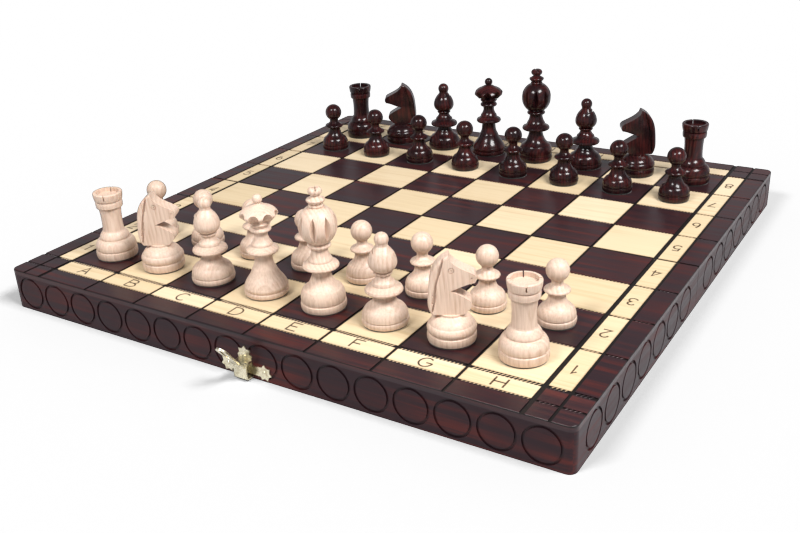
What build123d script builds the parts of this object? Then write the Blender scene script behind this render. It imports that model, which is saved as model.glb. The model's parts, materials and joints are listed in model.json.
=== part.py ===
from build123d import *
import math
import os

# Folding wooden chess set: a shallow two-part box whose outside is the board,
# and thirty-two turned chessmen standing in their starting places.
# Millimetres. +X runs from file a to file h, +Y from rank 1 to rank 8, +Z is up.
# The origin is the middle of the open board, in the plane of the rims it rests on.

# ---- board ----
square = 37.7             # side of one square
letter_strip = 12.6       # pale strip with the letters and figures
edge_strip = 11.6         # dark strip outside it
board_height = 24.0
panel_thickness = 3.0     # plywood panel that lies over the rails
rail_thickness = 10.0
fold_rail_thickness = 9.0
corner_radius = 4.0       # upright outer corners
panel_edge_round = 0.7
fold_gap = 0.3            # between the two halves, open or shut
groove_width = 1.6        # burned lines between the squares
border_groove_width = 2.6  # the line round the playing field
groove_depth = 0.6

# ---- carved rings on the outer rails ----
ring_below = 1.2          # wood left under a ring
ring_above = 0.2          # and over it
ring_groove = 1.4
ring_depth = 0.8
ring_gap = 1.8            # between two rings on the front and the back
side_ring_gap = 2.3       # and on the sides
ring_margin = 2.6         # least wood from a ring to a corner or to the fold

# ---- butt hinges ----
hinge_place = 112.0       # from the middle of the board to each hinge
hinge_length = 30.0
leaf_width = 8.0
leaf_thickness = 0.8
knuckle_radius = 1.3
hinge_pin_radius = 0.6
pin_clearance = 0.05
knuckle_gap = 0.3         # beside each knuckle and round the barrel
knuckle_count = 3
leaf_screw_count = 3

# ---- screws and nails ----
screw_radius = 0.8
screw_head_radius = 1.6
screw_head_depth = 0.6
screw_length = 6.5
screw_slot = 0.35
nail_radius = 0.5
nail_head_radius = 1.1
nail_head_height = 0.6
nail_length = 6.0
hole_clearance = 0.02

# ---- hasp on the front rail and its catch on the back rail ----
plate_thickness = 0.6
lobe_spread = 11.6        # from the middle to each side lobe
lobe_height = 5.0         # side lobes' centres above the rim
top_lobe_height = 13.0
lobe_tip_radius = 4.6
lobe_valley_radius = 3.2
lobe_points = 7
bridge_width = 8.2
bridge_reach = 5.2        # how far the bridge stands out from the rail
bridge_bottom = 0.9
bridge_share = 0.6        # how far the bridge rises beside the knuckles, over their radius
arm_share = 0.8           # half width of the plate's arms over the valley radius
bridge_sheet = 0.7
bridge_bend = 1.2         # outer radius of the strap's two bends
hasp_pivot_reach = 6.1
hasp_pivot_height = 9.7
hasp_pin_radius = 0.5
hasp_knuckle_radius = 1.1
loop_eye_width = 3.0
loop_eye_gap = 0.2
loop_length = 19.0        # from the pivot to the tip
loop_tip_radius = 3.4
loop_thickness = 0.9
loop_slot_width = 2.2
loop_slot_length = 8.6
loop_tip_wall = 2.0
loop_rest_angle = 52.0    # above level, leaning out from the rail
tongue_thickness = 1.4
tongue_height = 2.0
tongue_past_loop = 1.4
tongue_nib = 0.8

# ---- chessmen ----
foot_radius = 12.0        # king, queen, bishop, knight and rook
pawn_foot_radius = 10.0
king_height = 65.5
queen_height = 56.0
bishop_height = 48.5
knight_base_height = 15.0
knight_head_height = 30.0
rook_height = 40.0
pawn_height = 34.2
pawn_ball = 5.8           # radius of the ball on top
queen_ball = 2.6
bishop_ball = 3.6
felt_height = 0.8         # step under the foot that the felt covers
felt_inset = 0.7
standing_gap = 0.05       # between a chessman and the board
rook_cup_radius = 6.5
rook_cup_depth = 2.2
rook_kerf = 0.7
rook_kerf_depth = 3.4
rook_kerf_run = 0.9       # how far a kerf runs into the cup's floor
rook_kerf_turn = 30.0
mitre_slit = 0.9
mitre_slit_depth = 4.6
mitre_slit_angle = 38.0
coronet_points = 8
coronet_flute_radius = 2.9
coronet_flute_depth = 2.2
coronet_flute_length = 9.0
coronet_flute_rise = 0.5
coronet_flute_tilt = 42.0
coronet_flute_out = 0.7   # where the flutes touch the coronet, as a share of the foot's radius
coronet_flute_up = 0.775  # and as a share of the queen's height
crown_flutes = 8
crown_flute_depth = 3.0
crown_flute_disc = 20.0   # radius of the wheel that cuts them
crown_flute_slope = 0.62  # half width of the cut over its depth
crown_width = 0.83        # the crown's widest radius over the foot's radius
crown_level = 0.69        # height of the flutes' middle over the king's height
crown_notches = 4
notch_width = 1.1
notch_depth = 1.15
notch_turn = 45.0
head_thickness = 8.6
head_edge_round = 1.1
mane_cuts = 6
mane_cut_width = 0.9
mane_cut_depth = 1.2
mane_cut_lean = 13.0
mane_cut_length = 0.3     # share of the head's height
mane_first_level = 0.2
mane_pitch = 0.125
mane_inset = 0.66         # from the head's axis, as a share of the foot's radius
mane_curve = 0.012        # how the cuts draw in towards the ears
eye_out = 0.03
eye_up = 0.76
nostril_out = 0.82
nostril_up = 0.63
knight_turn = 28.0        # knights stand slantwise, turned from the file axis
eye_radius = 1.5
eye_groove = 0.45
eye_depth = 0.45

# ---- worked out ----
field = 8 * square
board_width = field + 2 * (letter_strip + edge_strip)
half = board_width / 2
rail_height = board_height - panel_thickness
ring_radius = (rail_height - ring_below - ring_above) / 2
ring_height = ring_below + ring_radius
fold_face = fold_gap / 2
hinge_axis_height = -fold_gap / 2
barrel_room = knuckle_radius + knuckle_gap
FRONT, BACK = -1, 1
LEFT, RIGHT = -1, 1
NEAR, FAR = -1, 1


def along_y(low, high, side):
    """Order two distances from the fold as a span of Y on one side of it."""
    return sorted((side * low, side * high))


def block(x0, x1, y0, y1, z0, z1):
    """A box between six planes."""
    size = (x1 - x0, y1 - y0, z1 - z0)
    centre = ((x0 + x1) / 2, (y0 + y1) / 2, (z0 + z1) / 2)
    return Pos(*centre) * Box(*size)


def joined(solids):
    """All of the solids as one, or as a group where they don't meet."""
    whole = solids[0]
    if len(solids) > 1:
        whole = solids[0].fuse(*solids[1:])
    return whole


def save(shape, node):
    """Write one sub-part to parts/."""
    shape.label = node
    export_step(shape, f"parts/{node}.step")


# ------------------------------------------------------------------ board

def half_outline(side, height, z0):
    """One half of the board in plan, with its two outer corners rounded."""
    y0, y1 = along_y(fold_face, half, side)
    body = block(-half, half, y0, y1, z0, z0 + height)
    corners = body.edges().filter_by(Axis.Z).sort_by(Axis.Y)
    outer = corners[:2] if side == NEAR else corners[-2:]
    return body.fillet(corner_radius, outer)


def file_lines():
    """X of every burned line that runs away from White, with its width."""
    strip = field / 2 + letter_strip
    lines = [(-strip, groove_width), (strip, groove_width)]
    for i in range(9):
        width = border_groove_width if i in (0, 8) else groove_width
        lines.append((i * square - field / 2, width))
    return lines


def rank_lines():
    """Distance from the fold of every burned line across one half, with its width."""
    lines = [(field / 2 + letter_strip, groove_width), (field / 2, border_groove_width)]
    for i in range(1, 4):
        lines.append((i * square, groove_width))
    return lines


def top_panel(side):
    """Plywood panel with the burned lines, one half of the board's outside."""
    panel = half_outline(side, panel_thickness, rail_height)
    top_edges = panel.faces().sort_by(Axis.Z)[-1].edges()
    fold_edge = top_edges.sort_by(Axis.Y)[-1 if side == NEAR else 0]
    panel = panel.fillet(panel_edge_round, [e for e in top_edges if e != fold_edge])
    floor = board_height - groove_depth
    reach = half + 1
    cuts = []
    for x, width in file_lines():
        cuts.append(block(x - width / 2, x + width / 2, -reach, reach, floor, board_height + 1))
    for distance, width in rank_lines():
        y = side * distance
        cuts.append(block(-reach, reach, y - width / 2, y + width / 2, floor, board_height + 1))
    edge = groove_width / 2
    cuts.append(block(-reach, reach, -edge, edge, floor, board_height + 1))
    return panel - joined(cuts)


def ring_places(start, end, gap):
    """Centres of a row of rings that fills a rail from start to end."""
    pitch = 2 * ring_radius + gap
    room = end - start - 2 * (ring_radius + ring_margin)
    count = int(room // pitch) + 1
    first = (start + end - (count - 1) * pitch) / 2
    return [first + i * pitch for i in range(count)]


def carved_ring(x, y, direction):
    """Ring groove cut square into an upright outer face."""
    plane = Plane(origin=(x, y, ring_height), z_dir=direction)
    ring = Cylinder(ring_radius, 2 * ring_depth) - Cylinder(ring_radius - ring_groove, 3 * ring_depth)
    return plane * ring


def mitred_prism(side):
    """Plan of the long outer rail as a trapezium, ends cut at 45 degrees."""
    outer, inner = side * (half + 1), side * (half - rail_thickness)
    wide, narrow = half + 1, half - rail_thickness
    plan = Polyline((-wide, outer), (wide, outer), (narrow, inner), (-narrow, inner), close=True)
    return extrude(make_face(plan), rail_height)


def end_rail(side):
    """Rail along rank 1 (side NEAR) or rank 8 (side FAR), mitred at both corners."""
    rail = half_outline(side, rail_height, 0) & mitred_prism(side)
    cuts = [carved_ring(x, side * half, (0, side, 0))
            for x in ring_places(-half, half, ring_gap)]
    return rail - joined(cuts)


def side_rail(side, x_side):
    """Left or right rail of one half, from the mitred corner to the fold."""
    x0, x1 = sorted((x_side * (half - rail_thickness), x_side * half))
    y0, y1 = along_y(fold_face, half, side)
    strip = block(x0, x1, y0, y1, 0, rail_height)
    rail = (half_outline(side, rail_height, 0) & strip) - mitred_prism(side)
    places = ring_places(fold_face, half, side_ring_gap)
    cuts = [carved_ring(x_side * half, side * d, (x_side, 0, 0)) for d in places]
    return rail - joined(cuts)


def hinge_places():
    return (-hinge_place, hinge_place)


def leaf_screw_places(side):
    """Centres of one leaf's screws, relative to the middle of its hinge."""
    step = hinge_length / leaf_screw_count
    y = side * (barrel_room + (leaf_width - barrel_room) / 2)
    return [((i - (leaf_screw_count - 1) / 2) * step, y) for i in range(leaf_screw_count)]


def fold_rail(side):
    """Rail beside the fold, let in for the leaves, the barrels and their screws."""
    inner = half - rail_thickness
    y0, y1 = along_y(fold_face, fold_face + fold_rail_thickness, side)
    rail = block(-inner, inner, y0, y1, 0, rail_height)
    cuts = []
    for x in hinge_places():
        length = hinge_length + 2 * knuckle_gap
        a, b = along_y(0, leaf_width + hole_clearance, side)
        cuts.append(block(x - length / 2, x + length / 2, a, b, -1, leaf_thickness + hole_clearance))
        barrel = Cylinder(barrel_room, length)
        cuts.append(Pos(x, 0, hinge_axis_height) * Rot(0, 90, 0) * barrel)
        for dx, y in leaf_screw_places(side):
            hole = Cylinder(screw_radius + hole_clearance, screw_length + hole_clearance,
                            align=(Align.CENTER, Align.CENTER, Align.MIN))
            cuts.append(Pos(x + dx, y, 0) * hole)
    return rail - joined(cuts)


# ------------------------------------------------------------------ hinges

def knuckle_spans(side):
    """X spans of the knuckles one leaf carries: odd ones near, even ones far."""
    step = hinge_length / knuckle_count
    spans = []
    for i in range(knuckle_count):
        owner = NEAR if i % 2 == 0 else FAR
        if owner == side:
            low = -hinge_length / 2 + i * step
            spans.append((low + knuckle_gap / 2, low + step - knuckle_gap / 2))
    return spans


def hinge_leaf(side):
    """Leaf let into a fold rail's rim, with its knuckles round the pin."""
    y0, y1 = along_y(barrel_room, leaf_width, side)
    plate = block(-hinge_length / 2, hinge_length / 2, y0, y1, 0, leaf_thickness)
    pieces = [plate]
    for low, high in knuckle_spans(side):
        middle = (low + high) / 2
        barrel = Cylinder(knuckle_radius, high - low)
        pieces.append(Pos(middle, 0, hinge_axis_height) * Rot(0, 90, 0) * barrel)
        a, b = along_y(0, barrel_room + 0.1, side)
        pieces.append(block(low, high, a, b, 0, leaf_thickness))
    leaf = joined(pieces)
    bore = Cylinder(hinge_pin_radius + pin_clearance, hinge_length + 2)
    cuts = [Pos(0, 0, hinge_axis_height) * Rot(0, 90, 0) * bore]
    for x, y in leaf_screw_places(side):
        cuts.append(Pos(x, y, 0) * countersink(hole_clearance))
    return leaf - joined(cuts)


def countersink(clearance):
    """Space for a countersunk head and shank, mouth at z = 0, going up."""
    head = Cone(screw_head_radius + clearance, screw_radius + clearance, screw_head_depth,
                align=(Align.CENTER, Align.CENTER, Align.MIN))
    shank = Cylinder(screw_radius + clearance, screw_length,
                     align=(Align.CENTER, Align.CENTER, Align.MIN))
    return head + shank


def hinge_pin():
    """Pin through the barrel, as long as the leaves."""
    return Pos(0, 0, hinge_axis_height) * Rot(0, 90, 0) * Cylinder(hinge_pin_radius, hinge_length)


def leaf_screws(side):
    """All screws of one half's leaves, heads down, as separate solids."""
    screws = []
    slot = Box(4 * screw_head_radius, screw_slot, screw_slot)
    for x in hinge_places():
        for dx, y in leaf_screw_places(side):
            screws.append(Pos(x + dx, y, 0) * (countersink(0) - slot))
    return Compound(children=screws)


# ------------------------------------------------------------------ hasp

def on_rail(side):
    """Plane on an end rail's outer face: x along the board, y up, z outwards."""
    x_dir = (1, 0, 0) if side == FRONT else (-1, 0, 0)
    return Plane(origin=(0, side * half, 0), x_dir=x_dir, z_dir=(0, side, 0))


def star(x, y):
    """Pointed lobe of the stamped plates."""
    points = []
    for i in range(2 * lobe_points):
        radius = lobe_tip_radius if i % 2 == 0 else lobe_valley_radius
        angle = math.radians(90 + 180 * i / lobe_points)
        points.append((x + radius * math.cos(angle), y + radius * math.sin(angle)))
    return make_face(Polyline(*points, close=True))


def nail_places():
    return [(-lobe_spread, lobe_height), (lobe_spread, lobe_height), (0, top_lobe_height)]


def stamped_plate():
    """Flat plate with three pointed lobes, lying on z = 0 of the rail's plane."""
    arm_half = lobe_valley_radius * arm_share
    arm = Pos(0, lobe_height) * Rectangle(2 * lobe_spread, 2 * arm_half)
    stem = Pos(0, (lobe_height + top_lobe_height) / 2) * Rectangle(
        bridge_width, top_lobe_height - lobe_height)
    outline = arm + stem
    for x, y in nail_places():
        outline += star(x, y)
    plate = extrude(outline, plate_thickness)
    holes = [Pos(x, y, 0) * Cylinder(nail_radius + hole_clearance, 4 * plate_thickness)
             for x, y in nail_places()]
    return plate - joined(holes)


def hasp_barrel(radius, length):
    """Cylinder on the hasp's pivot, in the rail's plane."""
    return Pos(0, hasp_pivot_height, hasp_pivot_reach) * Rot(0, 90, 0) * Cylinder(radius, length)


def bridge():
    """Bent strap that stands out from the plate and ends in the hasp's knuckles."""
    top = hasp_pivot_height + hasp_knuckle_radius * bridge_share
    low = bridge_bottom
    tall, reach = top - low, bridge_reach
    outer = Pos(0, low + tall / 2, reach / 2) * Box(bridge_width, tall, reach)
    front = outer.edges().filter_by(Axis.X).group_by(Axis.Z)[-1]
    outer = outer.fillet(bridge_bend, front)
    inner = Pos(0, low + tall / 2, (reach - bridge_sheet) / 2) * Box(
        bridge_width + 1, tall - 2 * bridge_sheet, reach - bridge_sheet)
    far_edges = inner.edges().filter_by(Axis.X).group_by(Axis.Z)[-1]
    inner = inner.fillet(bridge_bend - bridge_sheet, far_edges)
    strap = outer - inner
    strap = strap + hasp_barrel(hasp_knuckle_radius, bridge_width)
    room = hasp_barrel(hasp_knuckle_radius + 2 * loop_eye_gap, loop_eye_width + 2 * loop_eye_gap)
    bore = hasp_barrel(hasp_pin_radius + pin_clearance, bridge_width + 2)
    return strap - room - bore


def hasp_plate():
    """Front plate with its bridge, as one stamping."""
    return on_rail(FRONT) * (stamped_plate() + bridge())


def hasp_loop():
    """Teardrop loop with a slot, leaning up and out from its pivot."""
    tip_centre = loop_length - loop_tip_radius
    root_radius = loop_eye_width / 2
    rise = loop_tip_radius - root_radius
    sine = rise / (tip_centre - root_radius)
    cosine = math.sqrt(1 - sine * sine)
    sides = Polyline(
        (root_radius * cosine, root_radius - root_radius * sine),
        (loop_tip_radius * cosine, tip_centre - loop_tip_radius * sine),
        (-loop_tip_radius * cosine, tip_centre - loop_tip_radius * sine),
        (-root_radius * cosine, root_radius - root_radius * sine), close=True)
    outline = make_face(sides) + Pos(0, tip_centre) * Circle(loop_tip_radius)
    outline += Pos(0, root_radius / 2) * Rectangle(loop_eye_width * cosine, root_radius)
    slot_centre = loop_length - loop_tip_wall - loop_slot_length / 2
    outline -= Pos(0, slot_centre) * Rot(0, 0, 90) * SlotOverall(loop_slot_length, loop_slot_width)
    blade = Pos(0, 0, -loop_thickness / 2) * extrude(outline, loop_thickness)
    eye = Rot(0, 90, 0) * Cylinder(hasp_knuckle_radius, loop_eye_width)
    bore = Rot(0, 90, 0) * Cylinder(hasp_pin_radius + pin_clearance, loop_eye_width + 2)
    loop = (blade + eye) - bore
    lean = Rot(90 - loop_rest_angle, 0, 0)
    return on_rail(FRONT) * (Pos(0, hasp_pivot_height, hasp_pivot_reach) * lean * loop)


def hasp_pin():
    """Pin through the bridge's knuckles and the loop's eye."""
    return on_rail(FRONT) * hasp_barrel(hasp_pin_radius, bridge_width)


def catch_plate():
    """Back plate with the hooked tongue that the loop's slot drops over."""
    slot_end = loop_length - loop_tip_wall
    hook_top = -(hasp_pivot_height - slot_end) - fold_gap - loop_eye_gap
    hook_low = hook_top - tongue_nib - tongue_height
    reach = hasp_pivot_reach + loop_thickness / 2 + tongue_past_loop
    nib_from = hasp_pivot_reach + loop_thickness / 2 + loop_eye_gap
    stem = block(-tongue_thickness / 2, tongue_thickness / 2,
                 hook_low, hook_top - tongue_nib, 0, reach)
    nib = block(-tongue_thickness / 2, tongue_thickness / 2, hook_low, hook_top, nib_from, reach)
    return on_rail(BACK) * (stamped_plate() + stem + nib)


def plate_nails(side):
    """Three dome-headed nails that hold a stamped plate."""
    nails = []
    head_sphere = (nail_head_radius ** 2 + nail_head_height ** 2) / (2 * nail_head_height)
    for x, y in nail_places():
        ball = Pos(0, 0, plate_thickness + nail_head_height - head_sphere) * Sphere(head_sphere)
        above = Pos(0, 0, plate_thickness) * Cylinder(
            2 * nail_head_radius, 2 * nail_head_height, align=(Align.CENTER, Align.CENTER, Align.MIN))
        shank = Pos(0, 0, plate_thickness) * Cylinder(
            nail_radius, nail_length, align=(Align.CENTER, Align.CENTER, Align.MAX))
        nails.append(on_rail(side) * (Pos(x, y, 0) * ((ball & above) + shank)))
    return Compound(children=nails)


def nail_holes(side):
    """Holes for the plate's nails in an end rail."""
    holes = []
    for x, y in nail_places():
        hole = Cylinder(nail_radius + hole_clearance, nail_length,
                        align=(Align.CENTER, Align.CENTER, Align.MAX))
        holes.append(on_rail(side) * (Pos(x, y, 0) * hole))
    return joined(holes)


# ------------------------------------------------------------------ chessmen

def turned(height, radius, outline, ball=0):
    """Solid of revolution. The outline runs up from the foot: each entry gives radius
    and height as shares of the foot's radius and the piece's height, and how far the
    stretch that leads there bulges out (or, if negative, hollows in), as a share of
    the foot's radius. The foot's felt step comes first, and a ball may top it all."""
    inset = radius - felt_inset
    points = [(0, 0), (inset, 0), (inset, felt_height), (outline[0][0] * radius, felt_height)]
    edges = [Line(a, b) for a, b in zip(points, points[1:])]
    here = points[-1]
    for share, level, bulge in outline[1:]:
        there = (share * radius, level * height)
        if bulge:
            edges.append(SagittaArc(here, there, -bulge * radius))
        else:
            edges.append(Line(here, there))
        here = there
    top = (0, height)
    if ball:
        centre = height - ball
        neck = (here[0], centre - math.sqrt(ball ** 2 - here[0] ** 2))
        edges.append(Line(here, neck))
        edges.append(ThreePointArc(neck, (ball, centre), top))
    else:
        edges.append(Line(here, top))
    edges.append(Line(top, (0, 0)))
    face = make_face(Plane.XZ * Wire(edges))
    return revolve(face, Axis.Z)


def king():
    """King with a fluted crown and a small notched cup on top."""
    body = turned(king_height, foot_radius, [
        (0.975, 0, 0), (0.985, 0.062, 0.02), (0.92, 0.07, 0), (0.96, 0.08, 0.01),
        (0.85, 0.175, 0.05), (0.78, 0.183, 0), (0.5, 0.245, -0.03), (0.38, 0.325, -0.02),
        (0.42, 0.335, 0), (0.76, 0.352, 0.01), (0.79, 0.366, 0.01), (0.76, 0.378, 0),
        (0.52, 0.405, -0.01), (0.5, 0.425, 0.01), (0.36, 0.5, -0.03), (0.37, 0.515, 0),
        (0.49, 0.525, 0.01), (0.49, 0.543, 0.02), (0.4, 0.555, 0), (0.83, 0.7, 0.12),
        (0.45, 0.838, 0.11), (0.3, 0.846, 0), (0.31, 0.866, 0.02), (0.25, 0.872, 0),
        (0.38, 0.895, 0.01), (0.38, 0.912, 0.02), (0.19, 0.935, -0.01), (0.18, 0.945, 0),
        (0.28, 0.957, 0.01), (0.29, 0.985, 0.02), (0.2, 1.0, 0.01)])
    flutes = []
    reach = crown_width * foot_radius - crown_flute_depth + crown_flute_disc
    for i in range(crown_flutes):
        turn = Rot(0, 0, 360 * (i + 0.5) / crown_flutes)
        flutes.append(turn * Pos(reach, 0, crown_level * king_height) * flute_disc())
    notches = []
    for i in range(crown_notches // 2):
        turn = notch_turn + 360 * i / crown_notches
        notch = Box(foot_radius, notch_width, 2 * notch_depth)
        notches.append(Pos(0, 0, king_height) * Rot(0, 0, turn) * notch)
    return body - joined(flutes) - joined(notches)


def flute_disc():
    """Wheel with a V edge, upright and square to a radius, as it cuts the crown."""
    thick = crown_flute_disc * crown_flute_slope
    cheek = Cone(crown_flute_disc, 0, thick, align=(Align.CENTER, Align.CENTER, Align.MIN))
    return Rot(90, 0, 0) * (cheek + Rot(180, 0, 0) * cheek)


def queen():
    """Queen with a scalloped coronet under a dome and a ball."""
    body = turned(queen_height, foot_radius, [
        (0.975, 0, 0), (0.985, 0.055, 0.02), (0.93, 0.063, 0), (0.97, 0.075, 0.01),
        (0.95, 0.11, 0.02), (0.79, 0.17, 0.01), (0.54, 0.265, -0.02), (0.4, 0.36, -0.03),
        (0.38, 0.41, 0), (0.42, 0.42, 0), (0.69, 0.437, 0.01), (0.72, 0.455, 0.01),
        (0.69, 0.468, 0), (0.47, 0.5, -0.01), (0.45, 0.525, 0.01), (0.3, 0.6, -0.03),
        (0.31, 0.635, 0), (0.46, 0.648, 0.01), (0.46, 0.672, 0.02), (0.38, 0.685, 0),
        (0.42, 0.7, 0), (0.82, 0.795, -0.02), (0.84, 0.815, 0.01), (0.58, 0.87, 0.03),
        (0.25, 0.905, -0.01), (0.14, 0.916, -0.01)], queen_ball)
    lean = math.radians(coronet_flute_tilt)
    along = Vector(math.sin(lean), 0, math.cos(lean))
    outward = Vector(math.cos(lean), 0, -math.sin(lean))
    underside = Vector(coronet_flute_out * foot_radius, 0, coronet_flute_up * queen_height)
    middle = underside + outward * (coronet_flute_radius - coronet_flute_depth)
    cutter = Cylinder(coronet_flute_radius, coronet_flute_length)
    place = Pos(*(middle + along * coronet_flute_rise)) * Rot(0, coronet_flute_tilt, 0)
    flutes = [Rot(0, 0, 360 * (i + 0.5) / coronet_points) * place * cutter
              for i in range(coronet_points)]
    return body - joined(flutes)


def bishop():
    """Bishop with a slit in the back of its drop-shaped mitre and a small ball."""
    body = turned(bishop_height, foot_radius, [
        (0.975, 0, 0), (0.985, 0.07, 0.02), (0.93, 0.08, 0), (0.97, 0.095, 0.02),
        (0.8, 0.19, 0.04), (0.74, 0.2, 0), (0.5, 0.265, -0.03), (0.38, 0.33, -0.02),
        (0.42, 0.345, 0), (0.77, 0.362, 0.01), (0.8, 0.382, 0.01), (0.77, 0.4, 0),
        (0.5, 0.435, -0.01), (0.47, 0.47, 0.01), (0.3, 0.535, -0.03), (0.31, 0.55, 0),
        (0.38, 0.56, 0.01), (0.38, 0.575, 0.01), (0.31, 0.585, 0), (0.6, 0.69, 0.09),
        (0.44, 0.8, 0.03), (0.25, 0.858, 0)], bishop_ball)
    slit = Box(2 * foot_radius, 2 * foot_radius, mitre_slit)
    edge = Pos(0.6 * foot_radius - mitre_slit_depth + foot_radius, 0, 0) * slit
    lean = Rot(0, 0, 180) * Rot(0, -mitre_slit_angle, 0)
    return body - Pos(0, 0, 0.76 * bishop_height) * lean * edge


def rook():
    """Rook with a shallow cup and four saw kerfs in its crown."""
    body = turned(rook_height, foot_radius, [
        (0.975, 0, 0), (0.985, 0.12, 0.02), (0.93, 0.135, 0), (0.97, 0.15, 0.01),
        (0.8, 0.285, 0.06), (0.7, 0.295, 0), (0.7, 0.33, 0.01), (0.52, 0.41, 0.02),
        (0.5, 0.43, 0), (0.52, 0.76, -0.03), (0.6, 0.775, 0), (0.62, 0.8, 0.01),
        (0.62, 0.86, 0.01), (0.57, 0.872, 0), (0.64, 0.885, 0), (0.69, 0.985, 0.01),
        (0.66, 1.0, 0.005)])
    cup = Pos(0, 0, rook_height) * Cylinder(rook_cup_radius, 2 * rook_cup_depth)
    kerfs = []
    for i in range(2):
        kerf = Box(3 * foot_radius, rook_kerf, 2 * rook_kerf_depth)
        kerfs.append(Pos(0, 0, rook_height) * Rot(0, 0, rook_kerf_turn + 90 * i) * kerf)
    ring = Cylinder(foot_radius, 2 * rook_kerf_depth) - Cylinder(
        rook_cup_radius - rook_kerf_run, 3 * rook_kerf_depth)
    return body - cup - (joined(kerfs) & Pos(0, 0, rook_height) * ring)


def pawn():
    """Pawn: ball, thin collar, stem and bell."""
    return turned(pawn_height, pawn_foot_radius, [
        (0.96, 0, 0), (0.985, 0.105, 0.02), (0.92, 0.12, 0), (0.96, 0.135, 0.01),
        (0.79, 0.27, 0.05), (0.73, 0.28, 0), (0.49, 0.37, -0.02), (0.42, 0.47, -0.02),
        (0.46, 0.485, 0), (0.64, 0.512, 0.01), (0.66, 0.532, 0.01), (0.6, 0.556, 0.01),
        (0.3, 0.62, -0.03), (0.3, 0.67, -0.01)], pawn_ball)


def knight_base():
    """Turned base that carries a knight's head."""
    return turned(knight_base_height, foot_radius, [
        (0.975, 0, 0), (0.985, 0.3, 0.02), (0.93, 0.34, 0), (0.97, 0.38, 0.01),
        (0.9, 0.64, 0.06), (0.6, 0.88, 0.04), (0.5, 0.93, -0.01), (0.5, 1.0, 0)])


def head_outline():
    """Side view of a knight's head, facing +X, its neck on z = 0."""
    h = knight_head_height
    w = foot_radius

    def at(*shares):
        return [(x * w, z * h) for x, z in shares]

    back = Spline(*at((-0.78, 0.0), (-0.9, 0.13), (-0.9, 0.35), (-0.85, 0.55), (-0.72, 0.74),
                      (-0.5, 0.88), (-0.25, 0.965)))
    ear = Polyline(*at((-0.25, 0.965), (-0.09, 1.0), (-0.02, 0.925)))
    face = Spline(*at((-0.02, 0.925), (0.2, 0.84), (0.52, 0.765), (0.9, 0.69)))
    nose = ThreePointArc(*at((0.9, 0.69), (1.0, 0.61), (0.93, 0.545)))
    jaw = Spline(*at((0.93, 0.545), (0.6, 0.51), (0.3, 0.46), (-0.03, 0.41)))
    throat = Spline(*at((-0.03, 0.41), (0.35, 0.335), (0.7, 0.25)))
    chest = ThreePointArc(*at((0.7, 0.25), (0.81, 0.18), (0.74, 0.1)))
    under = Polyline(*at((0.74, 0.1), (0.5, 0.0), (-0.78, 0.0)))
    parts = (back, ear, face, nose, jaw, throat, chest, under)
    return Wire([edge for part in parts for edge in part.edges()])


def knight_head():
    """Sawn head with its back edges rounded, mane cuts, eyes and nostrils."""
    h = knight_head_height
    w = foot_radius
    head = extrude(make_face(Plane.XZ * head_outline()), head_thickness / 2, both=True)
    sides = (head.faces().sort_by(Axis.Y)[0], head.faces().sort_by(Axis.Y)[-1])
    backs = [side.edges().sort_by(Axis.X)[0] for side in sides]
    head = head.fillet(head_edge_round, backs)
    cuts = []
    for face_side in (-1, 1):
        surface = face_side * head_thickness / 2
        for i in range(mane_cuts):
            level = (mane_first_level + mane_pitch * i) * h
            inset = (mane_curve * i * i - mane_inset) * w
            cut = Box(mane_cut_width, 2 * mane_cut_depth, mane_cut_length * h)
            cuts.append(Pos(inset, surface, level) * Rot(0, mane_cut_lean, 0) * cut)
        eye = Cylinder(eye_radius, 2 * eye_depth) - Cylinder(eye_radius - eye_groove, 3 * eye_depth)
        eye += Cylinder(eye_groove, 2 * eye_depth)
        cuts.append(Pos(eye_out * w, surface, eye_up * h) * Rot(90, 0, 0) * eye)
        nostril = Cylinder(eye_groove, 2 * eye_depth)
        cuts.append(Pos(nostril_out * w, surface, nostril_up * h) * Rot(90, 0, 0) * nostril)
    return head - joined(cuts)


def square_centre(file_index, rank):
    """Plan place of a square: file 0 is a, rank 1 is White's first."""
    return (file_index - 3.5) * square, (rank - 4.5) * square


def place_chessmen():
    """Write the thirty-two chessmen, each on its own square."""
    makers = {"king": king(), "queen": queen(), "bishop": bishop(), "rook": rook(),
              "pawn": pawn(), "knight": knight_base()}
    head = knight_head()
    first_row = ["rook", "knight", "bishop", "queen", "king", "bishop", "knight", "rook"]
    floor = board_height + standing_gap
    for colour, back_rank, pawn_rank, turn in (("white", 1, 2, 0), ("black", 8, 7, 180)):
        for i, letter in enumerate("abcdefgh"):
            for kind, rank in ((first_row[i], back_rank), ("pawn", pawn_rank)):
                x, y = square_centre(i, rank)
                spot = Pos(x, y, floor) * Rot(0, 0, turn)
                name = f"{colour}_{kind}_{letter}{rank}"
                save(spot * makers[kind], name + "_base" if kind == "knight" else name)
                if kind == "knight":
                    slant = Rot(0, 0, knight_turn)
                    save(Pos(0, 0, knight_base_height) * spot * slant * head, name + "_head")


# ------------------------------------------------------------------ writing

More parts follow.
